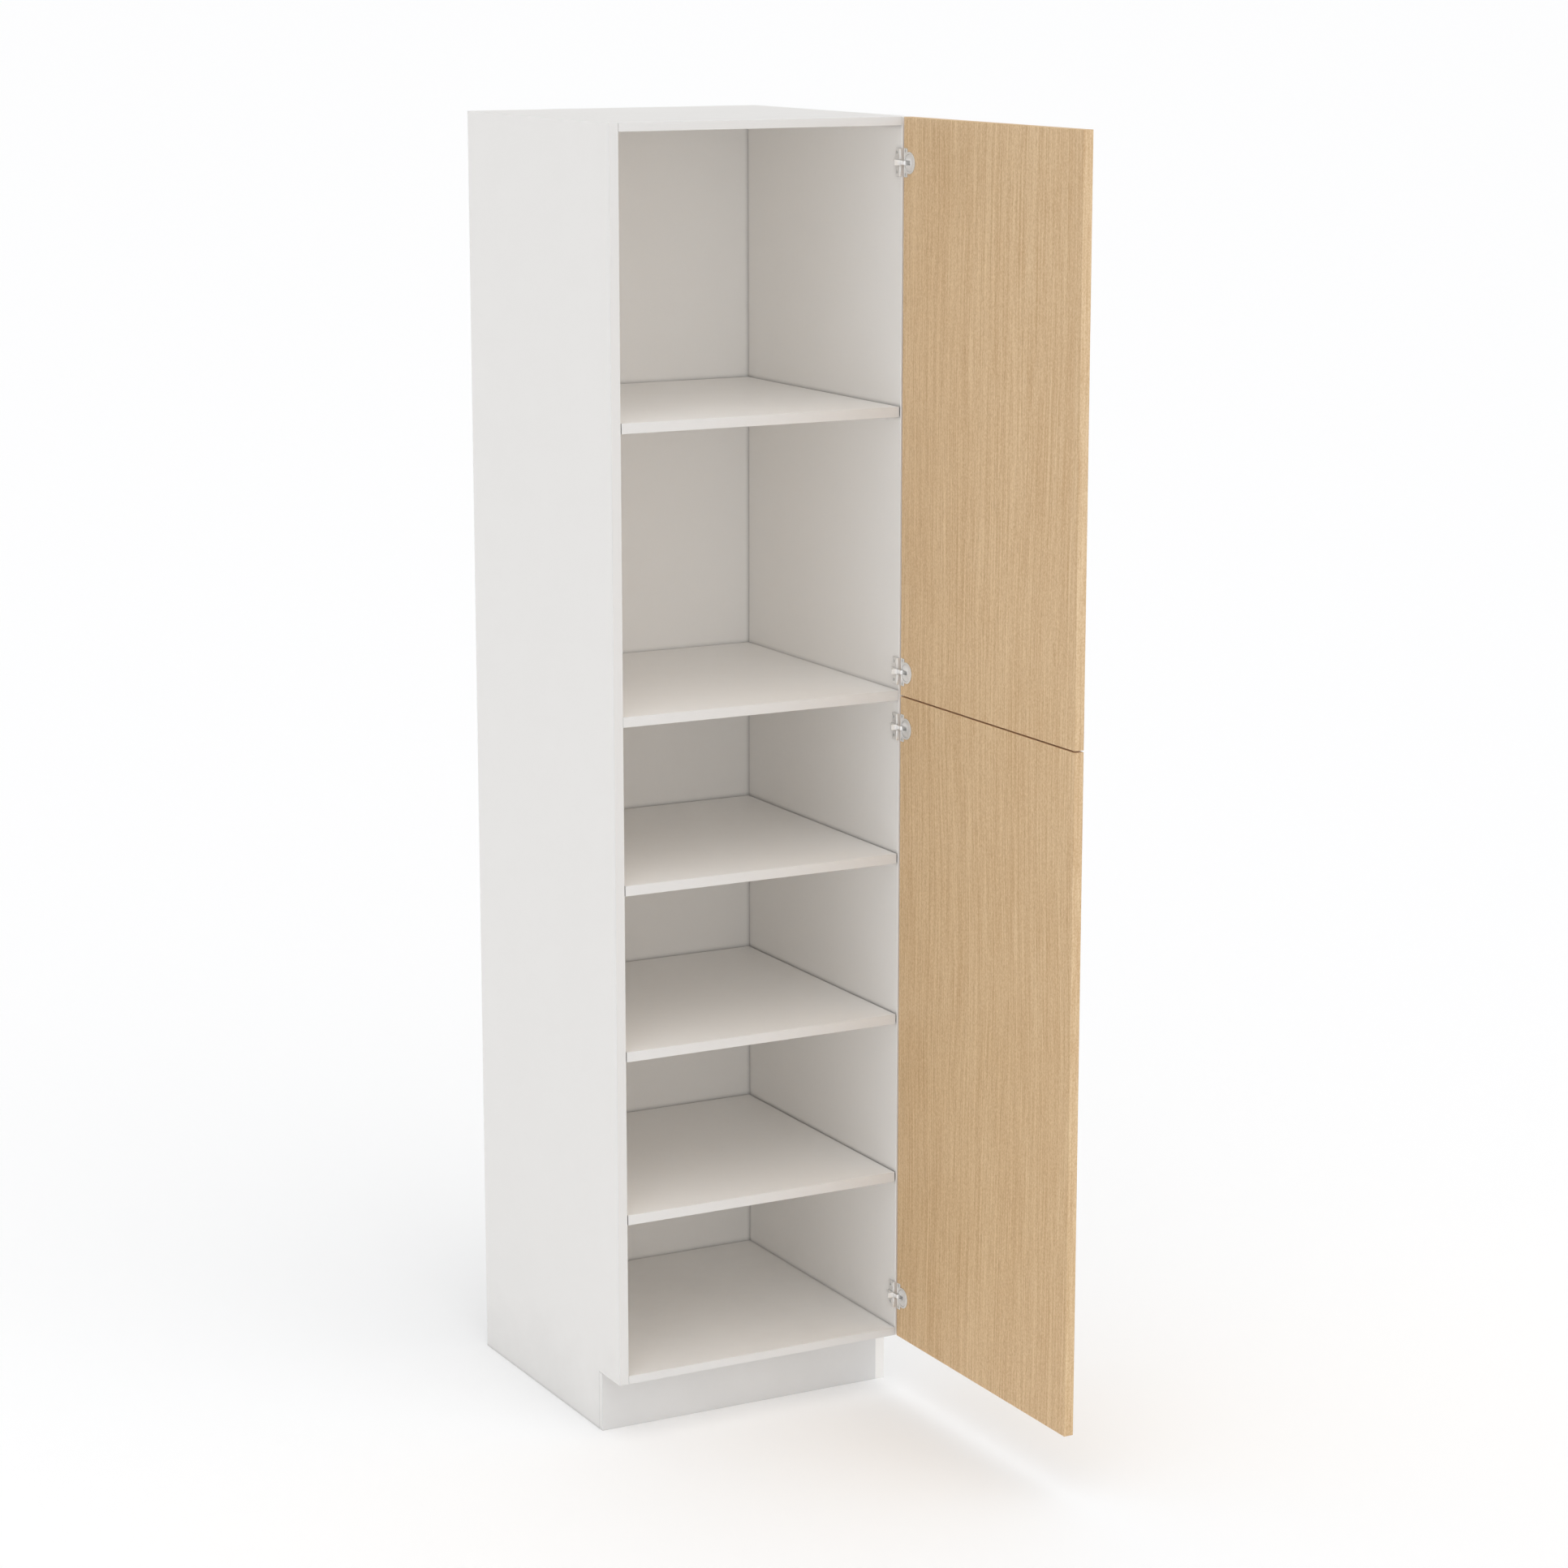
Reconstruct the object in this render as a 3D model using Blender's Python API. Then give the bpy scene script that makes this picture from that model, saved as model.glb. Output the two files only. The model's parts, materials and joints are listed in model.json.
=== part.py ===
"""Tall frameless pantry cabinet with two slab doors, one above the other.

Metres, +Z up. The origin is on the floor, midway across the cabinet, in the plane of the
carcass's front edges. +X is to the right of someone facing the cabinet and +Y runs to its back.
Both doors hang on the right side and are drawn open at a right angle.
"""
import math

import bmesh
import bpy
from mathutils import Matrix, Vector

# ---------------------------------------------------------------- carcass
WIDTH = 0.6096                # 24 in
DEPTH = 0.6096                # 24 in, front edges to the back of the back panel
HEIGHT = 2.4384               # 96 in
PANEL_T = 0.01905             # sides, shelves and doors, 3/4 in board
DECK_T = 0.015875             # top and bottom, 5/8 in board
BACK_T = 0.00635              # 1/4 in sheet
BACK_LAP = 0.0095             # how far the back reaches behind each side
KICK_HEIGHT = 0.1143          # 4 1/2 in
KICK_RECESS = 0.0762          # 3 in
KICK_T = 0.0127               # 1/2 in board
GAP = 0.0003                  # left between pieces that touch
CUTTER_RISE = 0.002           # how far a cutter starts above the face it enters
CUTTER_OVERRUN = 0.010        # how far the rabbet cutter runs past the board's ends
EDGE_EASE = 0.0005            # small chamfer on every board edge
SMOOTH_ANGLE = math.radians(35)   # faces that meet at less are shaded as one curve

# ---------------------------------------------------------------- shelves
FIXED_SHELF_Z = 1.3716        # mid thickness, behind the meeting line of the doors
UPPER_SHELVES = 1             # adjustable shelves above the fixed shelf
LOWER_SHELVES = 3             # adjustable shelves below it
SHELF_END_GAP = 0.002
SHELF_SETBACK = 0.001
SHELF_BACK_GAP = 0.002

PIN_R = 0.0025
PIN_COLLAR_R = 0.0035
PIN_COLLAR_T = 0.0012
PIN_REACH = 0.009             # out of the side panel
PIN_BURIED = 0.0095           # into the side panel
PIN_TIP_EASE = PIN_R / 3      # chamfer round the pin's free end
PIN_FRONT_Y = 0.050
PIN_BACK_Y = 0.550
PIN_SIDES = 10

# ---------------------------------------------------------------- doors
DOOR_SIDE_REVEAL = 0.0016
DOOR_TOP_REVEAL = 0.0005
DOOR_BOTTOM_REVEAL = 0.0008
DOOR_MEETING_GAP = 0.003
CLOSED_GAP = 0.003            # closed door's inner face to the carcass front
OPEN_GAP = 0.005              # open door's hinge edge to the carcass front
OPEN_INSET = 0.00095          # open door's inner face, outside the side's inner face
OPEN_ANGLE = math.radians(90)

# ---------------------------------------------------------------- hinges
HINGE_Z = {                   # mid height of each hinge, by door
    "upper_door": {"top": HEIGHT - 0.0825, "bottom": FIXED_SHELF_Z + 0.0460},
    "lower_door": {"top": FIXED_SHELF_Z - 0.0600, "bottom": KICK_HEIGHT + 0.0825},
}
CUP_R = 0.0172
CUP_WALL = 0.0009
CUP_DEPTH = 0.0126
CUP_SEGMENTS = 32
CUP_EDGE_DISTANCE = 0.0205    # cup centre to the door's hinge edge
FLANGE_R = 0.0200
FLANGE_T = 0.0008
FLANGE_ARC_STEPS = 21         # straight steps round the disc between its wings
FLANGE_EDGE_GAP = 0.0016      # flange to the door's hinge edge
WING_WIDTH = 0.0124
WING_HALF_HEIGHT = 0.0260
CUP_SCREW_Z = 0.0215
EAR_HALF_WIDTH = 0.0023       # ears inside the cup that carry the pin's ends
EAR_INNER_Z = 0.0075
EAR_OUTER_Z = 0.0120
EAR_TOP = 0.0025              # above the pin's centre

PLATE_T = 0.0020
PLATE_HALF_HEIGHT = 0.0250
PLATE_REAR_Y = 0.0220
PLATE_FRONT_Y = -0.00125
PLATE_LIP = 0.0055            # how far the front lip stands off the wall
PLATE_LIP_T = 0.0015
PLATE_SCREW_Y = 0.0137
PLATE_SCREW_Z = 0.0175

ARM_HALF_HEIGHT = 0.0050
ARM_CLEARANCE = 0.0010        # notch in the plate's lip, above and below the arm
ARM_FOOT_T = 0.0030
ARM_HEAD_T = 0.0048
ARM_FRONT_Y = -0.0010
ARM_REACH = 0.0160            # arm head, out from the side's inner face
NECK_HALF_HEIGHT = 0.0042
NECK_HALF_T = 0.00072
NECK_X = -0.0140              # neck's straight stretch, from the hinge pin
NECK_BEND_R = 0.0036
NECK_BEND_STEPS = 4
NECK_DIP = 0.00145            # how far the neck sinks below the pin before it bends
KNUCKLE_R = 0.0018
KNUCKLE_SIDES = 16
HINGE_PIN_R = 0.0012
HINGE_PIN_HALF_LENGTH = 0.0091
HINGE_PIN_SIDES = 12

SCREW_R = 0.0015
SCREW_HEAD_R = 0.0030
SCREW_HEAD_RIM = 0.0002       # straight rim above the head's cone
SCREW_LENGTH = 0.0110
SCREW_SIDES = 10

# ---------------------------------------------------------------- derived places
HALF_W = WIDTH / 2
INNER_X = HALF_W - PANEL_T                       # inner face of a side panel
BACK_Y = DEPTH - BACK_T                          # inner face of the back panel
BOTTOM_TOP_Z = KICK_HEIGHT + DECK_T
TOP_UNDERSIDE_Z = HEIGHT - DECK_T
DOOR_WIDTH = WIDTH - 2 * DOOR_SIDE_REVEAL

# The door's inner hinge corner is at CLOSED when shut and at OPENED after a quarter turn,
# which fixes the one axis it can turn about.
CLOSED = Vector((HALF_W - DOOR_SIDE_REVEAL, -CLOSED_GAP))
OPENED = Vector((INNER_X + OPEN_INSET, -OPEN_GAP))
PIVOT_X = (OPENED.x + CLOSED.y + CLOSED.x - OPENED.y) / 2
PIVOT_Y = (OPENED.x + CLOSED.y - CLOSED.x + OPENED.y) / 2
EDGE_X = CLOSED.x - PIVOT_X                      # pivot to the door's hinge edge
FACE_Y = CLOSED.y - PIVOT_Y                      # pivot to the door's inner face


# ---------------------------------------------------------------- materials
def make_material(name, color, roughness, metallic=0.0):
    material = bpy.data.materials.new(name)
    material.use_nodes = True
    shader = material.node_tree.nodes["Principled BSDF"]
    shader.inputs["Base Color"].default_value = (*color, 1.0)
    shader.inputs["Roughness"].default_value = roughness
    shader.inputs["Metallic"].default_value = metallic
    return material


# ---------------------------------------------------------------- mesh tools
def to_mesh(name, bm, smooth_angle=None):
    bmesh.ops.recalc_face_normals(bm, faces=bm.faces)
    mesh = bpy.data.meshes.new(name)
    bm.to_mesh(mesh)
    bm.free()
    if smooth_angle is not None:
        mesh.shade_smooth()
        mesh.set_sharp_from_angle(angle=smooth_angle)
    return mesh


def box_mesh(name, low, high, eased=False):
    """A box between two opposite corners."""
    low, high = Vector(low), Vector(high)
    bm = bmesh.new()
    bmesh.ops.create_cube(bm, size=1.0)
    bmesh.ops.scale(bm, vec=high - low, verts=bm.verts)
    bmesh.ops.translate(bm, vec=(low + high) / 2, verts=bm.verts)
    if eased:
        ease_edges(bm)
    return to_mesh(name, bm)


def ease_edges(bm):
    bmesh.ops.bevel(bm, geom=list(bm.edges), offset=EDGE_EASE, segments=1, affect="EDGES")


def prism_mesh(name, outline, along, start, end, eased=False):
    """An outline swept along one axis: "X" takes (y, z) points and "Z" takes (x, y) points."""
    bm = bmesh.new()
    if along == "X":
        corners = [bm.verts.new((start, a, b)) for a, b in outline]
        sweep = Vector((end - start, 0, 0))
    else:
        corners = [bm.verts.new((a, b, start)) for a, b in outline]
        sweep = Vector((0, 0, end - start))
    face = bm.faces.new(corners)
    grown = bmesh.ops.extrude_face_region(bm, geom=[face])
    moved = [item for item in grown["geom"] if isinstance(item, bmesh.types.BMVert)]
    bmesh.ops.translate(bm, vec=sweep, verts=moved)
    if eased:
        ease_edges(bm)
    return to_mesh(name, bm)


def turned_mesh(name, profile, segments):
    """A solid of revolution about Z; the profile runs from the axis out and back to it."""
    bm = bmesh.new()
    rings = []
    for radius, height in profile:
        if radius == 0:
            rings.append([bm.verts.new((0, 0, height))])
            continue
        turn = 2 * math.pi / segments
        rings.append([
            bm.verts.new((radius * math.cos(k * turn), radius * math.sin(k * turn), height))
            for k in range(segments)
        ])
    for lower, upper in zip(rings, rings[1:]):
        for k in range(segments):
            corners = {lower[k % len(lower)]: 0, lower[(k + 1) % len(lower)]: 0,
                       upper[(k + 1) % len(upper)]: 0, upper[k % len(upper)]: 0}
            bm.faces.new(list(corners))
    return to_mesh(name, bm, smooth_angle=SMOOTH_ANGLE)


def moved_copy(mesh, matrix):
    copy = mesh.copy()
    copy.transform(matrix)
    return copy


def merged(name, meshes):
    """Several separate meshes gathered into one."""
    bm = bmesh.new()
    for mesh in meshes:
        bm.from_mesh(mesh)
    return to_mesh(name, bm)


def combined(base, *steps):
    """The base mesh after Boolean steps, each an ("UNION" or "DIFFERENCE", mesh) pair."""
    target = bpy.data.objects.new("boolean_target", base)
    bpy.context.scene.collection.objects.link(target)
    tools = []
    for operation, mesh in steps:
        tool = bpy.data.objects.new("boolean_tool", mesh)
        bpy.context.scene.collection.objects.link(tool)
        modifier = target.modifiers.new("cut", "BOOLEAN")
        modifier.operation = operation
        modifier.solver = "EXACT"
        modifier.object = tool
        tools.append(tool)
    bpy.context.view_layer.update()
    graph = bpy.context.evaluated_depsgraph_get()
    result = bpy.data.meshes.new_from_object(target.evaluated_get(graph))
    result.name = base.name
    for item in (target, *tools):
        bpy.data.objects.remove(item)
    return result


def add_part(name, mesh, material, matrix=None, parent=None):
    """A named object; with a parent, the matrix is in the parent's space."""
    part = bpy.data.objects.new(name, mesh)
    bpy.context.scene.collection.objects.link(part)
    if not mesh.materials:
        mesh.materials.append(material)
    if parent is not None:
        part.parent = parent
    if matrix is not None:
        part.matrix_local = matrix
    return part


# ---------------------------------------------------------------- places that repeat
def shelf_undersides():
    """Each adjustable shelf's name and underside, evenly spaced in its compartment."""
    half = PANEL_T / 2
    spans = (
        ("upper_adjustable_shelf", UPPER_SHELVES, FIXED_SHELF_Z + half, TOP_UNDERSIDE_Z),
        ("lower_adjustable_shelf", LOWER_SHELVES, BOTTOM_TOP_Z, FIXED_SHELF_Z - half),
    )
    places = {}
    for name, count, floor, ceiling in spans:
        clear = (ceiling - floor - count * PANEL_T) / (count + 1)
        for k in range(count):
            label = name if count == 1 else f"{name}_{k + 1}"
            places[label] = floor + clear + k * (clear + PANEL_T)
    return places


def pin_places():
    """Shelf pin names with their place on the side wall and the wall's sign in X."""
    for shelf, underside in shelf_undersides().items():
        z = underside - GAP - PIN_R
        for side, sign in (("left", -1), ("right", 1)):
            for row, y in (("front", PIN_FRONT_Y), ("back", PIN_BACK_Y)):
                yield f"{shelf}_pin_{side}_{row}", Vector((sign * INNER_X, y, z)), sign


def out_of_wall(place, sign):
    """Puts local +Z on the normal of a side panel's inner face."""
    return Matrix.Translation(place) @ Matrix.Rotation(math.radians(-90 * sign), 4, "Y")


def hinge_places():
    for door, heights in HINGE_Z.items():
        for position, z in heights.items():
            yield f"{door}_{position}_hinge", door, z


def plate_screw_places():
    for hinge, _, z in hinge_places():
        for number, side in ((1, 1), (2, -1)):
            place = Vector((INNER_X, PLATE_SCREW_Y, z + side * PLATE_SCREW_Z))
            yield f"{hinge}_plate_screw_{number}", place


def cup_place(z):
    """The cup's frame on a shut door: its Z leaves the door's inner face, its X meets the edge."""
    centre = Vector((EDGE_X - CUP_EDGE_DISTANCE, FACE_Y, z))
    return Matrix.Translation(centre) @ Matrix.Rotation(math.radians(-90), 4, "X")


def cup_screw_offsets():
    """Screw centres in the cup's frame, midway across each wing."""
    x = CUP_EDGE_DISTANCE - FLANGE_EDGE_GAP - WING_WIDTH / 2
    return [(n, Matrix.Translation((x, side * CUP_SCREW_Z, 0))) for n, side in ((1, 1), (2, -1))]


# ---------------------------------------------------------------- fasteners and pins
def screw_profile(seat, grow=0.0):
    """A countersunk screw whose head is flush at the given height; grow makes its hole."""
    cone = SCREW_HEAD_R - SCREW_R
    top = seat + (CUTTER_RISE if grow else 0.0)
    return [
        (0, top),
        (SCREW_HEAD_R + grow, top),
        (SCREW_HEAD_R + grow, seat - SCREW_HEAD_RIM),
        (SCREW_R + grow, seat - cone),
        (SCREW_R + grow, -SCREW_LENGTH + SCREW_R),
        (0, -SCREW_LENGTH - grow),
    ]


def shelf_pin_mesh():
    profile = [
        (0, -PIN_BURIED),
        (PIN_R, -PIN_BURIED),
        (PIN_R, GAP),
        (PIN_COLLAR_R, GAP),
        (PIN_COLLAR_R, GAP + PIN_COLLAR_T),
        (PIN_R, GAP + PIN_COLLAR_T),
        (PIN_R, PIN_REACH - PIN_TIP_EASE),
        (PIN_R - PIN_TIP_EASE, PIN_REACH),
        (0, PIN_REACH),
    ]
    return turned_mesh("shelf_pin", profile, PIN_SIDES)


def rod_mesh(name, radius, bottom, top, sides):
    return turned_mesh(name, [(0, bottom), (radius, bottom), (radius, top), (0, top)], sides)


# ---------------------------------------------------------------- carcass boards
def side_panel_mesh(name, sign):
    """Notched at the toe kick, rabbeted for the back and drilled for pins and hinge screws."""
    notch_y = KICK_RECESS + KICK_T + GAP
    outline = [
        (0, KICK_HEIGHT), (notch_y, KICK_HEIGHT), (notch_y, 0),
        (DEPTH, 0), (DEPTH, HEIGHT), (0, HEIGHT),
    ]
    low, high = sorted((sign * INNER_X, sign * HALF_W))
    board = prism_mesh(name, outline, "X", low, high, eased=True)
    past = CUTTER_OVERRUN
    low, high = sorted((sign * (INNER_X - past), sign * (INNER_X + BACK_LAP)))
    rabbet_outline = [
        (BACK_Y - GAP, -past), (DEPTH + past, -past),
        (DEPTH + past, HEIGHT + past), (BACK_Y - GAP, HEIGHT + past),
    ]
    rabbet = prism_mesh("rabbet", rabbet_outline, "X", low, high)
    peg = rod_mesh("peg_hole", PIN_R + GAP, -PIN_BURIED - GAP, CUTTER_RISE, PIN_SIDES)
    holes = [moved_copy(peg, out_of_wall(place, s)) for _, place, s in pin_places() if s == sign]
    if sign > 0:
        hole = turned_mesh("screw_hole", screw_profile(PLATE_T + GAP, GAP), SCREW_SIDES)
        holes += [moved_copy(hole, out_of_wall(place, sign)) for _, place in plate_screw_places()]
    return combined(board, ("DIFFERENCE", rabbet), ("DIFFERENCE", merged("holes", holes)))


def build_carcass(board):
    for name, sign in (("left_side_panel", -1), ("right_side_panel", 1)):
        add_part(name, side_panel_mesh(name, sign), board)
    half_span = INNER_X - GAP
    rear = BACK_Y - GAP
    half = PANEL_T / 2
    decks = (
        ("top_panel", TOP_UNDERSIDE_Z, HEIGHT),
        ("bottom_panel", KICK_HEIGHT, BOTTOM_TOP_Z),
        ("fixed_middle_shelf", FIXED_SHELF_Z - half, FIXED_SHELF_Z + half),
    )
    for name, low, high in decks:
        deck = box_mesh(name, (-half_span, 0, low), (half_span, rear, high), eased=True)
        add_part(name, deck, board)
    back_half = INNER_X + BACK_LAP - GAP
    back = box_mesh("back_panel", (-back_half, BACK_Y, 0), (back_half, DEPTH, HEIGHT), eased=True)
    add_part("back_panel", back, board)
    kick_low = (-HALF_W, KICK_RECESS, 0)
    kick_high = (HALF_W, KICK_RECESS + KICK_T, KICK_HEIGHT - GAP)
    add_part("toe_kick_board", box_mesh("toe_kick_board", kick_low, kick_high, eased=True), board)


def build_shelves(board, metal):
    half_span = INNER_X - SHELF_END_GAP
    for name, underside in shelf_undersides().items():
        low = (-half_span, SHELF_SETBACK, underside)
        high = (half_span, BACK_Y - SHELF_BACK_GAP, underside + PANEL_T)
        add_part(name, box_mesh(name, low, high, eased=True), board)
    pin = shelf_pin_mesh()
    for name, place, sign in pin_places():
        add_part(name, pin, metal, out_of_wall(place, sign))


# ---------------------------------------------------------------- hinges
def flange_outline():
    """Disc round the cup with two wings along the door's edge, in the cup's frame."""
    outer_x = CUP_EDGE_DISTANCE - FLANGE_EDGE_GAP
    inner_x = outer_x - WING_WIDTH
    start = math.acos(inner_x / FLANGE_R)
    steps = FLANGE_ARC_STEPS
    sweep = 2 * math.pi - 2 * start
    turns = [start + sweep * k / steps for k in range(steps + 1)]
    arc = [(FLANGE_R * math.cos(turn), FLANGE_R * math.sin(turn)) for turn in turns]
    return [
        (outer_x, -WING_HALF_HEIGHT), (outer_x, WING_HALF_HEIGHT), (inner_x, WING_HALF_HEIGHT),
        *arc,
        (inner_x, -WING_HALF_HEIGHT),
    ]


def cup_mesh():
    """A round cup in the door with its flange, one pressed shell with its mouth open."""
    flange = prism_mesh("hinge_cup", flange_outline(), "Z", GAP, GAP + FLANGE_T)
    middle = GAP + FLANGE_T / 2
    shell = rod_mesh("cup_shell", CUP_R, -CUP_DEPTH, middle, CUP_SEGMENTS)
    floor = CUP_WALL - CUP_DEPTH
    mouth = rod_mesh("cup_mouth", CUP_R - CUP_WALL, floor, CUTTER_RISE, CUP_SEGMENTS)
    pin_x, pin_depth = CUP_EDGE_DISTANCE - EDGE_X, -FACE_Y
    ears = merged("ears", [
        box_mesh("ear", (pin_x - EAR_HALF_WIDTH, low, floor - CUP_WALL / 2),
                 (pin_x + EAR_HALF_WIDTH, high, pin_depth + EAR_TOP))
        for low, high in ((EAR_INNER_Z, EAR_OUTER_Z), (-EAR_OUTER_Z, -EAR_INNER_Z))
    ])
    core = rod_mesh("core", CUP_R - CUP_WALL / 2, -CUP_DEPTH, middle, CUP_SEGMENTS)
    ears = combined(ears, ("INTERSECT", core))
    reach = HINGE_PIN_HALF_LENGTH + GAP
    bore = rod_mesh("pin_bore", HINGE_PIN_R + GAP, -reach, reach, HINGE_PIN_SIDES)
    bore.transform(Matrix.Translation((pin_x, 0, pin_depth)) @ Matrix.Rotation(math.radians(90), 4, "X"))
    hole = turned_mesh("screw_hole", screw_profile(GAP + FLANGE_T, GAP), SCREW_SIDES)
    holes = merged("holes", [moved_copy(hole, offset) for _, offset in cup_screw_offsets()])
    cup = combined(
        flange, ("UNION", shell), ("DIFFERENCE", mouth), ("UNION", ears),
        ("DIFFERENCE", bore), ("DIFFERENCE", holes))
    cup.shade_smooth()
    cup.set_sharp_from_angle(angle=SMOOTH_ANGLE)
    return cup


def plate_mesh():
    """Mounting plate on the side wall with a lip across its front, in the hinge pin's frame."""
    wall = INNER_X - GAP - PIVOT_X
    front, rear = PLATE_FRONT_Y - PIVOT_Y, PLATE_REAR_Y - PIVOT_Y
    outline = [
        (wall, front), (wall, rear), (wall - PLATE_T, rear), (wall - PLATE_T, front + PLATE_LIP_T),
        (wall - PLATE_LIP, front + PLATE_LIP_T), (wall - PLATE_LIP, front),
    ]
    plate = prism_mesh("hinge_plate", outline, "Z", -PLATE_HALF_HEIGHT, PLATE_HALF_HEIGHT)
    notch_half = ARM_HALF_HEIGHT + ARM_CLEARANCE
    near, far = wall - PLATE_T - GAP / 2, wall - PLATE_LIP - CUTTER_RISE
    low, high = front - CUTTER_RISE, front + PLATE_LIP_T + CUTTER_RISE
    notch = prism_mesh(
        "notch", [(near, low), (near, high), (far, high), (far, low)], "Z", -notch_half, notch_half)
    hole = turned_mesh("screw_hole", screw_profile(PLATE_T + GAP, GAP), SCREW_SIDES)
    to_pin_frame = Matrix.Translation((-PIVOT_X, -PIVOT_Y, 0))
    holes = [
        moved_copy(hole, to_pin_frame @ out_of_wall(Vector((INNER_X, PLATE_SCREW_Y, z)), 1))
        for z in (PLATE_SCREW_Z, -PLATE_SCREW_Z)
    ]
    return combined(plate, ("DIFFERENCE", notch), ("DIFFERENCE", merged("holes", holes)))


def ribbon_outline(centre_line, half_t):
    """A path thickened on both sides, as one closed outline."""
    left, right = [], []
    for k, point in enumerate(centre_line):
        before = centre_line[max(k - 1, 0)]
        after = centre_line[min(k + 1, len(centre_line) - 1)]
        along = Vector((after[0] - before[0], after[1] - before[1])).normalized()
        across = Vector((-along.y, along.x)) * half_t
        left.append((point[0] + across.x, point[1] + across.y))
        right.append((point[0] - across.x, point[1] - across.y))
    return left + right[::-1]


def arm_mesh():
    """Foot on the plate, upright head, and a gooseneck into the cup that ends in the pin."""
    wall = INNER_X - GAP - PIVOT_X - PLATE_T - GAP
    front, rear = ARM_FRONT_Y - PIVOT_Y, PLATE_REAR_Y - PIVOT_Y
    tip = INNER_X - PIVOT_X - ARM_REACH
    bracket_outline = [
        (wall, front), (wall, rear), (wall - ARM_FOOT_T, rear),
        (wall - ARM_FOOT_T, front + ARM_HEAD_T), (tip, front + ARM_HEAD_T), (tip, front),
    ]
    bracket = prism_mesh("hinge_arm", bracket_outline, "Z", -ARM_HALF_HEIGHT, ARM_HALF_HEIGHT)
    centre_x, centre_y = NECK_X + NECK_BEND_R, NECK_BEND_R - NECK_DIP
    bend = []
    for k in range(NECK_BEND_STEPS, -1, -1):
        turn = math.pi / 2 * k / NECK_BEND_STEPS
        bend.append((centre_x - NECK_BEND_R * math.cos(turn), centre_y - NECK_BEND_R * math.sin(turn)))
    neck_line = [(0, 0), *bend, (NECK_X, front + ARM_HEAD_T / 2)]
    neck = prism_mesh(
        "neck", ribbon_outline(neck_line, NECK_HALF_T), "Z", -NECK_HALF_HEIGHT, NECK_HALF_HEIGHT)
    half = NECK_HALF_HEIGHT - GAP / 2
    knuckle = rod_mesh("knuckle", KNUCKLE_R, -half, half, KNUCKLE_SIDES)
    reach = HINGE_PIN_HALF_LENGTH
    pin = rod_mesh("pin", HINGE_PIN_R, -reach, reach, HINGE_PIN_SIDES)
    arm = combined(bracket, ("UNION", neck), ("UNION", knuckle), ("UNION", pin))
    arm.shade_smooth()
    arm.set_sharp_from_angle(angle=SMOOTH_ANGLE)
    return arm


def door_mesh(name, low_z, high_z):
    """A slab in the hinge pin's frame, shut, bored for its cups and their screws."""
    low = (EDGE_X - DOOR_WIDTH, FACE_Y - PANEL_T, low_z)
    high = (EDGE_X, FACE_Y, high_z)
    bore = rod_mesh("cup_bore", CUP_R + GAP, -CUP_DEPTH - GAP, CUTTER_RISE, CUP_SEGMENTS)
    hole = turned_mesh("screw_hole", screw_profile(GAP + FLANGE_T, GAP), SCREW_SIDES)
    cutters = []
    for z in HINGE_Z[name].values():
        cutters.append(moved_copy(bore, cup_place(z)))
        cutters += [moved_copy(hole, cup_place(z) @ offset) for _, offset in cup_screw_offsets()]
    return combined(box_mesh(name, low, high, eased=True), ("DIFFERENCE", merged("bores", cutters)))


def build_doors(wood):
    """Each door hangs from an empty on its pin axis, turned to the open angle."""
    half = DOOR_MEETING_GAP / 2
    spans = {
        "upper_door": (FIXED_SHELF_Z + half, HEIGHT - DOOR_TOP_REVEAL),
        "lower_door": (KICK_HEIGHT + DOOR_BOTTOM_REVEAL, FIXED_SHELF_Z - half),
    }
    pivots = {}
    for name, (low_z, high_z) in spans.items():
        pivot = bpy.data.objects.new(f"{name}_pivot", None)
        bpy.context.scene.collection.objects.link(pivot)
        pivot.location = (PIVOT_X, PIVOT_Y, 0)
        pivot.rotation_euler = (0, 0, OPEN_ANGLE)
        add_part(name, door_mesh(name, low_z, high_z), wood, parent=pivot)
        pivots[name] = pivot
    return pivots


def build_hinges(pivots, metal, screw_metal):
    cup, plate, arm = cup_mesh(), plate_mesh(), arm_mesh()
    cup_screw = turned_mesh("cup_screw", screw_profile(GAP + FLANGE_T), SCREW_SIDES)
    plate_screw = turned_mesh("plate_screw", screw_profile(PLATE_T + GAP), SCREW_SIDES)
    for hinge, door, z in hinge_places():
        at_pin = Matrix.Translation((PIVOT_X, PIVOT_Y, z))
        add_part(f"{hinge}_plate", plate, metal, at_pin)
        add_part(f"{hinge}_arm", arm, metal, at_pin)
        add_part(f"{hinge}_cup", cup, metal, cup_place(z), pivots[door])
        for number, offset in cup_screw_offsets():
            name = f"{hinge}_cup_screw_{number}"
            add_part(name, cup_screw, screw_metal, cup_place(z) @ offset, pivots[door])
    for name, place in plate_screw_places():
        add_part(name, plate_screw, screw_metal, out_of_wall(place, 1))


def main():
    for item in list(bpy.data.objects):
        bpy.data.objects.remove(item)
    board = make_material("white_board", (0.76, 0.75, 0.73), 0.45)
    wood = make_material("oak_veneer", (0.60, 0.42, 0.25), 0.50)
    nickel = make_material("hinge_nickel", (0.78, 0.77, 0.75), 0.28, 1.0)
    screw_metal = make_material("screw_steel", (0.70, 0.69, 0.67), 0.35, 1.0)
    pin_metal = make_material("shelf_pin_nickel", (0.72, 0.71, 0.69), 0.32, 1.0)
    build_carcass(board)
    build_shelves(board, pin_metal)
    build_hinges(build_doors(wood), nickel, screw_metal)


main()
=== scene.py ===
"""Looks of the pantry cabinet: materials, finished pieces, floor, light and camera."""

import json
import math

import bmesh
import bpy
from mathutils import Matrix, Vector


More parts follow.
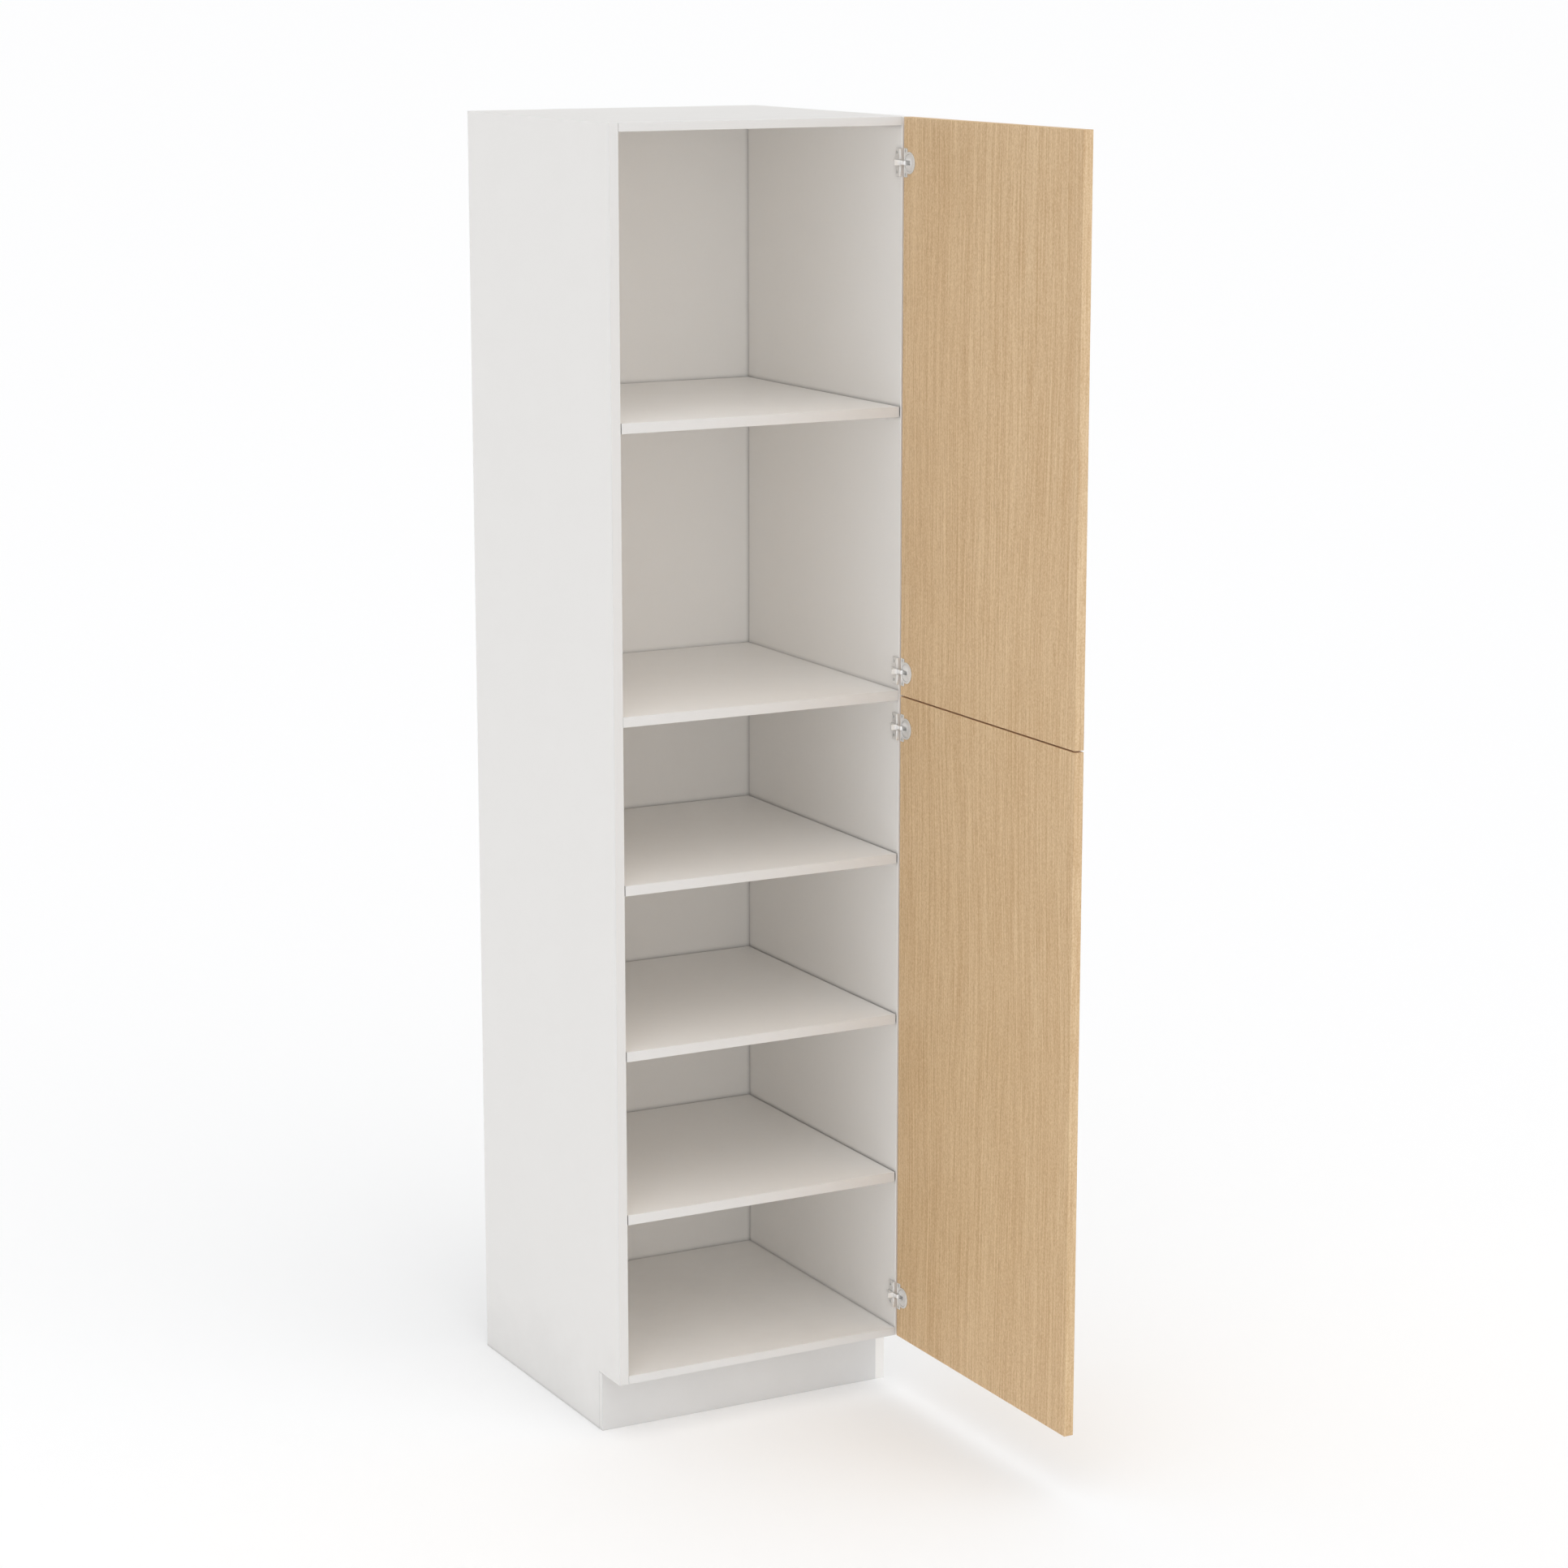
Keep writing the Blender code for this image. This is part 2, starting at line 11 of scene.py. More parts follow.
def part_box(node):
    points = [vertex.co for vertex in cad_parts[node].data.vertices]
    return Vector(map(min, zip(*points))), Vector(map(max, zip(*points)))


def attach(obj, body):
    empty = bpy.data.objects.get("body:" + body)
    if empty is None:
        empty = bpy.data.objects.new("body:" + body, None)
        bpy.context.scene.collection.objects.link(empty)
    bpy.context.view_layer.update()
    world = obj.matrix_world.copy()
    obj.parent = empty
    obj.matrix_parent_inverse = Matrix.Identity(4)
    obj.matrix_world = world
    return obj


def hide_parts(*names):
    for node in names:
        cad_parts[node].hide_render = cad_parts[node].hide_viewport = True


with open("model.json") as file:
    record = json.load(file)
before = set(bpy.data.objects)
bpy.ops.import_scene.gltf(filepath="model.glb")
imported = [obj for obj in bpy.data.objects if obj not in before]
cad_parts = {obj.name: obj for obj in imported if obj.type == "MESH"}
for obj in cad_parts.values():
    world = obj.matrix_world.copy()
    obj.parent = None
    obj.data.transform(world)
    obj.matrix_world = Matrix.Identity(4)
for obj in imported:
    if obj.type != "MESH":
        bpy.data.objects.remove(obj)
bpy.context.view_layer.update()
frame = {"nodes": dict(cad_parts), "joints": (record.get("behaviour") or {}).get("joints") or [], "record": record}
nodes = frame["nodes"]
scene = bpy.context.scene

MM = 0.001                    # metres in a millimetre
WELD = 0.002                  # mm: points closer than this are one
SHARP_ANGLE = math.radians(35)
BODIES = frame["record"]["behaviour"]["bodies"]
BODY_OF = {name: body for body, names in BODIES.items() for name in names}
SLOT_OF = {part["node"]: part["material_slot"] for part in frame["record"]["subparts"]}
PIN_AXIS = {joint["child"]: Vector(joint["pos_m"]) for joint in frame["joints"]}

# ------------------------------------------------------------------ camera, floor and light values
CAMERA_PLACE = (-3.335, -6.307, 2.729)
CAMERA_DOWN = 11.86           # degrees below level
CAMERA_TURN = 28.17           # degrees to the right of straight ahead
CAMERA_LENS = 90.9            # mm, on a sensor of SENSOR_WIDTH
SENSOR_WIDTH = 36.0
CAMERA_FAR = 2000.0

SKY_STRENGTH = 0.26
HORIZON_GLOW = 0.9            # added at the horizon all round, gone at HORIZON_TOP
HORIZON_TOP = 0.26            # sine of the angle above the horizon
SKY_LIGHTS = (                # direction, strength, tightness
    ((0, -1, 0), 0.06, 4.0),
    ((0, -1, 0.58), 0.73, 4.0),
    ((0, -1, 1.2), 0.60, 4.0),
    ((-1, -1, 0.5), 0.22, 6.0),
    ((0, 0, 1), 1.52, 5.0),
)
FLOOR_COLOR = (0.860, 0.862, 0.867, 1)
FLOOR_ROUGHNESS = 0.9
FLOOR_SPECULAR = 0.1
FLOOR_GLOW = 0.12
FLOOR_HALF = 400.0
WHITE = (1.0, 1.0, 1.0, 1.0)
DIFFUSE_BOUNCES = 8           # enough to carry light into the back of the compartments


# ------------------------------------------------------------------ camera, floor and light
def add_camera():
    """A long lens a little above the cabinet's top, to the left of it and looking down."""
    camera = bpy.data.objects.new("camera", bpy.data.cameras.new("camera"))
    scene.collection.objects.link(camera)
    camera.location = CAMERA_PLACE
    camera.rotation_euler = (math.radians(90 - CAMERA_DOWN), 0, math.radians(-CAMERA_TURN))
    camera.data.lens = CAMERA_LENS
    camera.data.sensor_width = SENSOR_WIDTH
    camera.data.clip_end = CAMERA_FAR
    scene.camera = camera


def add_floor():
    """A pale floor out to the horizon."""
    bm = bmesh.new()
    bmesh.ops.create_grid(bm, x_segments=1, y_segments=1, size=FLOOR_HALF)
    mesh = bpy.data.meshes.new("floor")
    bm.to_mesh(mesh)
    bm.free()
    floor = bpy.data.objects.new("floor", mesh)
    scene.collection.objects.link(floor)
    material = bpy.data.materials.new("floor_pale")
    material.use_nodes = True
    shader = material.node_tree.nodes["Principled BSDF"]
    shader.inputs["Base Color"].default_value = FLOOR_COLOR
    shader.inputs["Roughness"].default_value = FLOOR_ROUGHNESS
    shader.inputs["Specular IOR Level"].default_value = FLOOR_SPECULAR
    shader.inputs["Emission Color"].default_value = WHITE
    shader.inputs["Emission Strength"].default_value = FLOOR_GLOW
    mesh.materials.append(material)


def add_sky():
    """An even white sky with broad soft lights in it, each around its own direction."""
    world = bpy.data.worlds.new("studio")
    world.use_nodes = True
    tree = world.node_tree
    direction = tree.nodes.new("ShaderNodeTexCoord").outputs["Generated"]
    height = tree.nodes.new("ShaderNodeSeparateXYZ")
    tree.links.new(direction, height.inputs[0])
    ring = tree.nodes.new("ShaderNodeMapRange")
    ring.inputs["From Max"].default_value = HORIZON_TOP
    ring.inputs["To Min"].default_value = SKY_STRENGTH + HORIZON_GLOW
    ring.inputs["To Max"].default_value = SKY_STRENGTH
    tree.links.new(height.outputs["Z"], ring.inputs["Value"])
    total = ring.outputs[0]
    for aim, strength, tightness in SKY_LIGHTS:
        facing = tree.nodes.new("ShaderNodeVectorMath")
        facing.operation = "DOT_PRODUCT"
        facing.inputs[1].default_value = Vector(aim).normalized()
        tree.links.new(direction, facing.inputs[0])
        steps = (("MAXIMUM", 0.0), ("POWER", tightness), ("MULTIPLY", strength))
        value = facing.outputs["Value"]
        for operation, number in steps:
            step = tree.nodes.new("ShaderNodeMath")
            step.operation = operation
            step.inputs[1].default_value = number
            tree.links.new(value, step.inputs[0])
            value = step.outputs[0]
        both = tree.nodes.new("ShaderNodeMath")
        tree.links.new(total, both.inputs[0])
        tree.links.new(value, both.inputs[1])
        total = both.outputs[0]
    background = tree.nodes["Background"]
    background.inputs["Color"].default_value = WHITE
    tree.links.new(total, background.inputs["Strength"])
    scene.world = world


def add_lights():
    """The sky is the only light."""
    add_sky()
    scene.cycles.diffuse_bounces = DIFFUSE_BOUNCES
    scene.view_settings.view_transform = "Standard"


# ------------------------------------------------------------------ materials
class Graph:
    """A short way to lay out one material's nodes."""

    def __init__(self, name):
        self.material = bpy.data.materials.new(name)
        self.material.use_nodes = True
        self.tree = self.material.node_tree
        self.shader = self.tree.nodes["Principled BSDF"]

    def put(self, socket, value):
        if isinstance(value, bpy.types.NodeSocket):
            self.tree.links.new(value, socket)
        else:
            socket.default_value = value

    def node(self, kind, settings=None, **inputs):
        made = self.tree.nodes.new(kind)
        for key, value in (settings or {}).items():
            setattr(made, key, value)
        for key, value in inputs.items():
            self.put(made.inputs[key], value)
        return made

    def math(self, operation, *values):
        made = self.tree.nodes.new("ShaderNodeMath")
        made.operation = operation
        for socket, value in zip(made.inputs, values):
            self.put(socket, value)
        return made.outputs[0]

    def remap(self, value, low, high, to_low, to_high):
        made = self.node("ShaderNodeMapRange", Value=value)
        ends = {"From Min": low, "From Max": high, "To Min": to_low, "To Max": to_high}
        for key, number in ends.items():
            made.inputs[key].default_value = number
        return made.outputs[0]

    def mix(self, factor, a, b, blend="MIX"):
        made = self.tree.nodes.new("ShaderNodeMix")
        made.data_type = "RGBA"
        made.blend_type = blend
        for socket, value in zip((made.inputs[0], made.inputs[6], made.inputs[7]), (factor, a, b)):
            self.put(socket, value)
        return made.outputs[2]

    def noise(self, vector, stretch, detail=2.0, roughness=0.5, offset=(0, 0, 0)):
        mapped = self.node("ShaderNodeMapping", Vector=vector, Scale=stretch, Location=offset)
        made = self.node(
            "ShaderNodeTexNoise", Vector=mapped.outputs[0], Scale=1.0, Detail=detail,
            Roughness=roughness)
        return made.outputs["Fac"]


NOISE_SPAN = (0.3, 0.7)       # the range that most of a noise's values lie in
FACES = 0.5                   # a face looks along an axis when its normal has more than this of it
CREASE_SAMPLES = 8


def grey(graph, value):
    """One number as a colour, to multiply others with."""
    return graph.node("ShaderNodeCombineColor", Red=value, Green=value, Blue=value).outputs[0]


def crease_shade(graph, reach, power):
    """Painted shade: 1 in the open, falling in the last few millimetres before another surface."""
    hidden = graph.node("ShaderNodeAmbientOcclusion", {"samples": CREASE_SAMPLES}, Distance=reach)
    return graph.math("POWER", hidden.outputs["AO"], power)


def bump(graph, height, relief):
    """Fine relief that only bends the light, given as a depth in metres and a strength."""
    distance, strength = relief
    made = graph.node("ShaderNodeBump", Height=height, Strength=strength, Distance=distance)
    return made.outputs[0]


BOARD_DIM = (0.866, 0.852, 0.832, 1)
BOARD_BRIGHT = (0.882, 0.869, 0.850, 1)
BOARD_MOTTLE = (5, 5, 5)      # cells per metre
BOARD_PEARL = (900, 900, 900)
BOARD_SMUDGE = (16, 16, 11)
BOARD_ROUGHNESS = (0.36, 0.47)
BOARD_RELIEF = (0.00004, 0.35)
PEARL_TONE = 0.008            # lighter and darker by this much
FRONT_SHADE_TONE = (0.800, 0.808, 0.820, 1)       # painted shade on the faces looking to the front, against the boards' white
FRONT_REACH = 0.1              # metres from the front: the edges and the kick's face are nearer
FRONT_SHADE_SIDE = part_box("right_side_panel")[0].x     # beyond it, the right side's edge keeps the white, without the painted shade on the front faces
DARKER_BELOW = 0.16            # metres above the floor at which the darkening towards the floor ends
DARKER_UNEVEN = 0.06
DARKER_TONE = 0.93
BOARD_CREASE = 0.008          # metres, reach of the shade where boards meet
BOARD_CREASE_POWER = 0.42
FRONT_CREASE_POWER = 0.06


def white_board():
    """Satin white melamine: a faint mottle, a fine pearl in the surface, darker near the floor, painted shade in
    creases and on the front faces.
    """
    g = Graph("white_board")
    coordinates = g.node("ShaderNodeTexCoord")
    place = coordinates.outputs["Object"]
    mottle = g.noise(place, BOARD_MOTTLE, detail=4, roughness=0.6)
    pearl = g.noise(place, BOARD_PEARL, detail=1)
    color = g.mix(mottle, BOARD_DIM, BOARD_BRIGHT)
    xyz = g.node("ShaderNodeSeparateXYZ", Vector=place)
    height = xyz.outputs["Z"]
    forward = g.node("ShaderNodeSeparateXYZ", Vector=coordinates.outputs["Normal"]).outputs["Y"]
    faces_front = g.math("LESS_THAN", forward, -FACES)
    front = g.math("MULTIPLY", faces_front, g.math("LESS_THAN", xyz.outputs["Y"], FRONT_REACH))
    # painted shade on the front faces, except the right side's edge
    front_shade_mask = g.math("MULTIPLY", front, g.math("LESS_THAN", xyz.outputs["X"], FRONT_SHADE_SIDE))
    # darker towards the floor, unevenly
    uneven_height = g.math("ADD", height, g.remap(mottle, *NOISE_SPAN, -DARKER_UNEVEN, DARKER_UNEVEN))
    power = g.remap(front, 0.0, 1.0, BOARD_CREASE_POWER, FRONT_CREASE_POWER)
    # painted shade where boards meet, weaker on the front faces
    shade = crease_shade(g, BOARD_CREASE, power)
    shade = g.math("MULTIPLY", shade, g.remap(uneven_height, 0.0, DARKER_BELOW, DARKER_TONE, 1.0))
    shine = g.remap(pearl, *NOISE_SPAN, 1 - PEARL_TONE, 1 + PEARL_TONE)
    shade = g.math("MULTIPLY", shade, shine)
    # the front faces take the painted shade's tone
    color = g.mix(front_shade_mask, color, g.mix(1.0, color, FRONT_SHADE_TONE, "MULTIPLY"))
    g.put(g.shader.inputs["Base Color"], g.mix(1.0, color, grey(g, shade), "MULTIPLY"))
    smudge = g.noise(place, BOARD_SMUDGE, detail=5, roughness=0.65)
    g.put(g.shader.inputs["Roughness"], g.remap(smudge, *NOISE_SPAN, *BOARD_ROUGHNESS))
    g.put(g.shader.inputs["Normal"], bump(g, pearl, BOARD_RELIEF))
    return g.material


OAK_LIGHT = (0.840, 0.626, 0.386, 1)
OAK_DARK = (0.612, 0.394, 0.200, 1)
OAK_PORE = (0.40, 0.22, 0.10, 1)
# painted shade: the colour that creases and narrow gaps are drawn towards
OAK_CREASE_SHADE = (0.50, 0.29, 0.13, 1)
OAK_CREASE_REACH = 0.006
OAK_CREASE_POWER = 0.35
OAK_LOW_SHADE = (0.975, 0.960, 0.915, 1)       # painted shade: a darker tint on the veneer's lower reaches
OAK_LOW_SHADE_TOP = 1.7          # metres above the floor at which that tint is gone
OAK_EDGE_SHADE = 0.84          # painted shade on the doors' upright edges, against their faces
OAK_DRIFT = (2.2, 2.2, 1.1)   # cells per metre of the slow sway of the grain
OAK_SWAY = 0.022              # metres to each side
OAK_DRIFT_SPAN = (0.25, 0.75)
OAK_PORES = (520, 520, 30.0)
OAK_PORE_SPAN = (0.60, 0.72)  # noise values from no pore to a full one
OAK_PORE_DEPTH = 0.40
OAK_GRAIN_ROUGHNESS = 0.55    # of the noise
OAK_ROUGHNESS = (0.42, 0.60)
OAK_STREAK_HEIGHT = 0.4       # of the pores' depth
OAK_RELIEF = (0.00012, 0.30)
OAK_COAT = 0.12
OAK_COAT_ROUGHNESS = 0.35
OAK_LAYERS = (                # cells per metre across and along the grain, detail, weight
    (420.0, 260.0, 1, 1.45),
    (290.0, 6.0, 1, 1.15),
    (225.0, 1.6, 2, 1.05),
    (60.0, 1.2, 2, 0.28),
    (12.0, 0.6, 1, 0.22),
)


def oak(name, seed):
    """Light rift-cut oak: long straight streaks, short dark pores and slow tonal bands.

    The grain runs up the doors, and lengthwise along their top and bottom edges.
    """
    g = Graph(name)
    coordinates = g.node("ShaderNodeTexCoord")
    place = coordinates.outputs["Object"]
    facing = g.node("ShaderNodeSeparateXYZ", Vector=coordinates.outputs["Normal"])
    level = g.math("GREATER_THAN", g.math("ABSOLUTE", facing.outputs["Z"]), FACES)
    upright = g.math("GREATER_THAN", g.math("ABSOLUTE", facing.outputs["Y"]), FACES)
    xyz = g.node("ShaderNodeSeparateXYZ", Vector=place)
    lying = g.node(
        "ShaderNodeCombineXYZ", X=xyz.outputs["X"], Y=xyz.outputs["Z"], Z=xyz.outputs["Y"])
    pick = g.node("ShaderNodeMix", {"data_type": "VECTOR"})
    g.put(pick.inputs[0], level)
    g.put(pick.inputs[4], place)
    g.put(pick.inputs[5], lying.outputs[0])
    along = pick.outputs[1]
    drift = g.noise(along, OAK_DRIFT, detail=1, offset=seed)
    sway = g.remap(drift, *OAK_DRIFT_SPAN, -OAK_SWAY, OAK_SWAY)
    sway = g.node("ShaderNodeCombineXYZ", X=0.0, Y=sway, Z=0.0)
    grain = g.node("ShaderNodeVectorMath", {"operation": "ADD"})
    g.put(grain.inputs[0], along)
    g.put(grain.inputs[1], sway.outputs[0])
    grain = grain.outputs[0]

    parts = []
    for across, length, detail, weight in OAK_LAYERS:
        layer = g.noise(
            grain, (across, across, length), detail=detail, roughness=OAK_GRAIN_ROUGHNESS,
            offset=seed)
        parts.append(g.math("MULTIPLY", g.math("SUBTRACT", layer, 0.5), weight))
    tone = 0.5
    for part in parts:
        tone = g.math("ADD", part, tone)
    pores = g.noise(grain, OAK_PORES, detail=2, roughness=OAK_GRAIN_ROUGHNESS, offset=seed)
    pore = g.remap(pores, *OAK_PORE_SPAN, 0.0, 1.0)

    color = g.mix(tone, OAK_DARK, OAK_LIGHT)
    # painted shade: the upright edges darker than the faces
    edge = grey(g, g.remap(upright, 0.0, 1.0, 1.0, OAK_EDGE_SHADE))
    color = g.mix(1.0, color, edge, "MULTIPLY")
    # painted shade in creases and narrow gaps, towards a warm brown
    color = g.mix(crease_shade(g, OAK_CREASE_REACH, OAK_CREASE_POWER), OAK_CREASE_SHADE, color)
    # painted shade: the veneer darker and warmer low down
    depth = g.remap(xyz.outputs["Z"], 0.0, OAK_LOW_SHADE_TOP, 1.0, 0.0)
    color = g.mix(depth, color, g.mix(1.0, color, OAK_LOW_SHADE, "MULTIPLY"))
    color = g.mix(g.math("MULTIPLY", pore, OAK_PORE_DEPTH), color, OAK_PORE)
    g.put(g.shader.inputs["Base Color"], color)
    g.put(g.shader.inputs["Roughness"], g.remap(pores, *NOISE_SPAN, *OAK_ROUGHNESS))
    height = g.math("SUBTRACT", g.math("MULTIPLY", tone, OAK_STREAK_HEIGHT), pore)
    g.put(g.shader.inputs["Normal"], bump(g, height, OAK_RELIEF))
    g.shader.inputs["Coat Weight"].default_value = OAK_COAT
    g.shader.inputs["Coat Roughness"].default_value = OAK_COAT_ROUGHNESS
    return g.material


PLATE_CLOUDS = (260, 260, 260)        # cells per metre
PLATE_HAIRS = (900, 900, 9000)
PLATE_DULL = 0.94             # the clouds' tone against the bright metal
PLATE_CREASE_REACH = 0.002
PLATE_CREASE_POWER = 0.3
PLATE_WEAR_SPAN = (0.7, 1.3)  # of clouds and scratches together
PLATE_ROUGHER = 0.12          # added where both are strongest
PLATE_RELIEF = (0.00002, 0.25)
PLATE_METALLIC = 0.6


def plated(name, color, rough):
    """Plated steel: clouded gloss, hair-fine scratches and painted shade in the corners."""
    g = Graph(name)
    place = g.node("ShaderNodeTexCoord").outputs["Object"]
    cloud = g.noise(place, PLATE_CLOUDS, detail=3)
    hairs = g.noise(place, PLATE_HAIRS, detail=2)
    dull = (*(PLATE_DULL * channel for channel in color), 1)
    metal = g.mix(g.remap(cloud, *NOISE_SPAN, 0.0, 1.0), dull, (*color, 1))
    # painted shade in the corners
    corner_shade = grey(g, crease_shade(g, PLATE_CREASE_REACH, PLATE_CREASE_POWER))
    g.put(g.shader.inputs["Base Color"], g.mix(1.0, metal, corner_shade, "MULTIPLY"))
    wear = g.remap(g.math("ADD", cloud, hairs), *PLATE_WEAR_SPAN, rough, rough + PLATE_ROUGHER)
    g.put(g.shader.inputs["Roughness"], wear)
    g.put(g.shader.inputs["Normal"], bump(g, hairs, PLATE_RELIEF))
    g.shader.inputs["Metallic"].default_value = PLATE_METALLIC
    return g.material


LOOKS = {                     # by material slot
    "white_board": white_board(),
    "oak_veneer": oak("oak_veneer_grain", (3.1, 1.7, 0.4)),
    "hinge_nickel": plated("hinge_nickel_plate", (0.95, 0.945, 0.935), 0.28),
    "screw_steel": plated("screw_zinc", (0.78, 0.78, 0.77), 0.26),
    "shelf_pin_nickel": plated("shelf_pin_plate", (0.80, 0.79, 0.77), 0.24),
}


# ------------------------------------------------------------------ mesh tools, in millimetres
def prism(outline, axis, low, high):
    """A closed outline swept along one axis: "X" takes (y, z), "Y" (x, z) and "Z" (x, y) points."""
    order = {"X": (2, 0, 1), "Y": (0, 2, 1), "Z": (0, 1, 2)}[axis]
    start = [[(a, b, low)[k] for k in order] for a, b in outline]
    sweep = [(0, 0, high - low)[k] for k in order]
    bm = bmesh.new()
    face = bm.faces.new([bm.verts.new(point) for point in start])
    grown = bmesh.ops.extrude_face_region(bm, geom=[face])["geom"]
    far_end = [item for item in grown if isinstance(item, bmesh.types.BMVert)]
    bmesh.ops.translate(bm, vec=sweep, verts=far_end)
    bmesh.ops.recalc_face_normals(bm, faces=bm.faces)
    return bm


def rectangle(low, high):
    return [(low[0], low[1]), (high[0], low[1]), (high[0], high[1]), (low[0], high[1])]


def box(low, high):
    return prism(rectangle(low, high), "Z", low[2], high[2])


def turned(profile, sides=32):
    """A solid of revolution about Z; the profile runs from the axis out and back to it."""
    bm = bmesh.new()
    rings = []
    for radius, height in profile:
        turns = [2 * math.pi * k / sides for k in range(sides if radius else 1)]
        rings.append([bm.verts.new((radius * math.cos(t), radius * math.sin(t), height)) for t in turns])
    for low, high in zip(rings, rings[1:]):
        for k in range(sides):
            after = (k + 1) % sides
            places = ((low, k), (low, after), (high, after), (high, k))
            corners = [ring[j % len(ring)] for ring, j in places]
            bm.faces.new(list(dict.fromkeys(corners)))      # a ring on the axis is a single point
    bmesh.ops.recalc_face_normals(bm, faces=bm.faces)
    return bm


def disc(radius, low, high, sides=32):
    return turned([(0, low), (radius, low), (radius, high), (0, high)], sides)


def moved(bm, matrix):
    bmesh.ops.transform(bm, matrix=matrix, verts=bm.verts)
    return bm


def rounded(points, radii, steps=5):
    """An outline whose corners are rounded, each by its own radius."""
    outline = []
    for k, (point, radius) in enumerate(zip(points, radii)):
        here = Vector(point)
        if not radius:
            outline.append(tuple(here))
            continue
        back = (Vector(points[k - 1]) - here).normalized()
        ahead = (Vector(points[(k + 1) % len(points)]) - here).normalized()
        half = back.angle(ahead) / 2
        centre = here + (back + ahead).normalized() * (radius / math.sin(half))
        start = here + back * (radius / math.tan(half)) - centre
        end = here + ahead * (radius / math.tan(half)) - centre
        sweep = start.angle_signed(end)
        for step in range(steps + 1):
            outline.append(tuple(centre + Matrix.Rotation(-sweep * step / steps, 2) @ start))
    return outline


def ribbon(line, half):
    """A path thickened to both sides, as one outline."""
    left, right = [], []
    for k, point in enumerate(line):
        before, after = Vector(line[max(k - 1, 0)]), Vector(line[min(k + 1, len(line) - 1)])
        along = (after - before).normalized()
        left.append((point[0] - along.y * half, point[1] + along.x * half))
        right.append((point[0] + along.y * half, point[1] - along.x * half))
    return left + right[::-1]


def settled(mesh):
    """The shape with its points and faces in a fixed order, as the solver's varies between runs."""
    order = sorted(range(len(mesh.vertices)), key=lambda k: mesh.vertices[k].co[:])
    rank = {old: new for new, old in enumerate(order)}
    faces = []
    for polygon in mesh.polygons:
        corners = [rank[k] for k in polygon.vertices]
        first = corners.index(min(corners))
        faces.append(corners[first:] + corners[:first])
    bm = bmesh.new()
    points = [bm.verts.new(mesh.vertices[k].co) for k in order]
    for corners in sorted(faces):
        bm.faces.new([points[k] for k in corners])
    return bm


def solid(base, add=(), cut=(), keep=(), bevel=0.0, segments=2):
    """The base with shapes added, cut away or kept in common, then its sharp edges rounded."""
    made = []

    def holder(bm):
        mesh = bpy.data.meshes.new("working")
        bm.to_mesh(mesh)
        bm.free()
        item = bpy.data.objects.new("working", mesh)
        scene.collection.objects.link(item)
        made.append(item)
        return item

    target = holder(base)
    for operation, shapes in (("INTERSECT", keep), ("UNION", add), ("DIFFERENCE", cut)):
        for bm in shapes:
            modifier = target.modifiers.new("step", "BOOLEAN")
            modifier.operation, modifier.solver, modifier.object = operation, "EXACT", holder(bm)
    if bevel:
        modifier = target.modifiers.new("bevel", "BEVEL")
        modifier.width, modifier.segments = bevel, segments
        modifier.limit_method, modifier.angle_limit = "ANGLE", SHARP_ANGLE
        modifier.use_clamp_overlap = True
    bpy.context.view_layer.update()
    finished = target.evaluated_get(bpy.context.evaluated_depsgraph_get())
    mesh = bpy.data.meshes.new_from_object(finished)
    for item in made:
        working = item.data
        bpy.data.objects.remove(item)
        bpy.data.meshes.remove(working)
    bm = settled(mesh)
    bpy.data.meshes.remove(mesh)
    bmesh.ops.remove_doubles(bm, verts=bm.verts, dist=WELD)
    bmesh.ops.dissolve_degenerate(bm, edges=bm.edges, dist=WELD)
    return bm


def to_mesh(name, bm, slot):
    """A shape in millimetres as a mesh in metres, shaded smooth and in its slot's finish."""
    mesh = bpy.data.meshes.new(name)
    bmesh.ops.scale(bm, vec=(MM, MM, MM), verts=bm.verts)
    bm.to_mesh(mesh)
    bm.free()
    mesh.shade_smooth()
    mesh.set_sharp_from_angle(angle=SHARP_ANGLE)
    mesh.materials.append(LOOKS[slot])
    return mesh


def stand_in(node, mesh, matrix):
    """A finished piece in place of one CAD node, on the same body and in the same finish."""
    piece = bpy.data.objects.new(f"{node}_finished", mesh)
    scene.collection.objects.link(piece)
    piece.matrix_world = matrix
    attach(piece, BODY_OF[node])
    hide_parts(node)


# ------------------------------------------------------------------ hinge measures, in millimetres
# In the hinge frame the origin is on the pin at mid height, +X points out of the outer face of
# the open door and +Y into the cabinet. A turned shape or a flat one is drawn about Z, with the
# room above it, and TOWARDS_ROOM lays it on the wall or the door.
HINGES = sorted(name.removesuffix("_cup") for name in nodes if name.endswith("_hinge_cup"))
TOWARDS_ROOM = Matrix(((0, 0, -1, 0), (1, 0, 0, 0), (0, -1, 0, 0), (0, 0, 0, 1)))


def hinge_origin(hinge):
    cup = f"{hinge}_cup"
    low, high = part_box(cup)
    axis = PIN_AXIS[BODY_OF[cup]]
    return Vector((axis.x, axis.y, (low.z + high.z) / 2))


def measured(kind):
    """The corners of one part of the first hinge, to a hundredth of a millimetre."""
    origin = hinge_origin(HINGES[0])
    corners = [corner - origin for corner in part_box(f"{HINGES[0]}_{kind}")]
    return [Vector([round(value / MM, 2) for value in corner]) for corner in corners]


PLATE_LOW, PLATE_HIGH = measured("plate")
ARM_LOW, ARM_HIGH = measured("arm")
CUP_LOW, CUP_HIGH = measured("cup")
PLATE_SCREW = sum(measured("plate_screw_1"), Vector()) / 2
CUP_SCREW = sum(measured("cup_screw_1"), Vector()) / 2
SCREW_WELL_R = 3.1
PAST = 1.0                    # how far a cutter or a trimmed sheet runs past the faces it meets

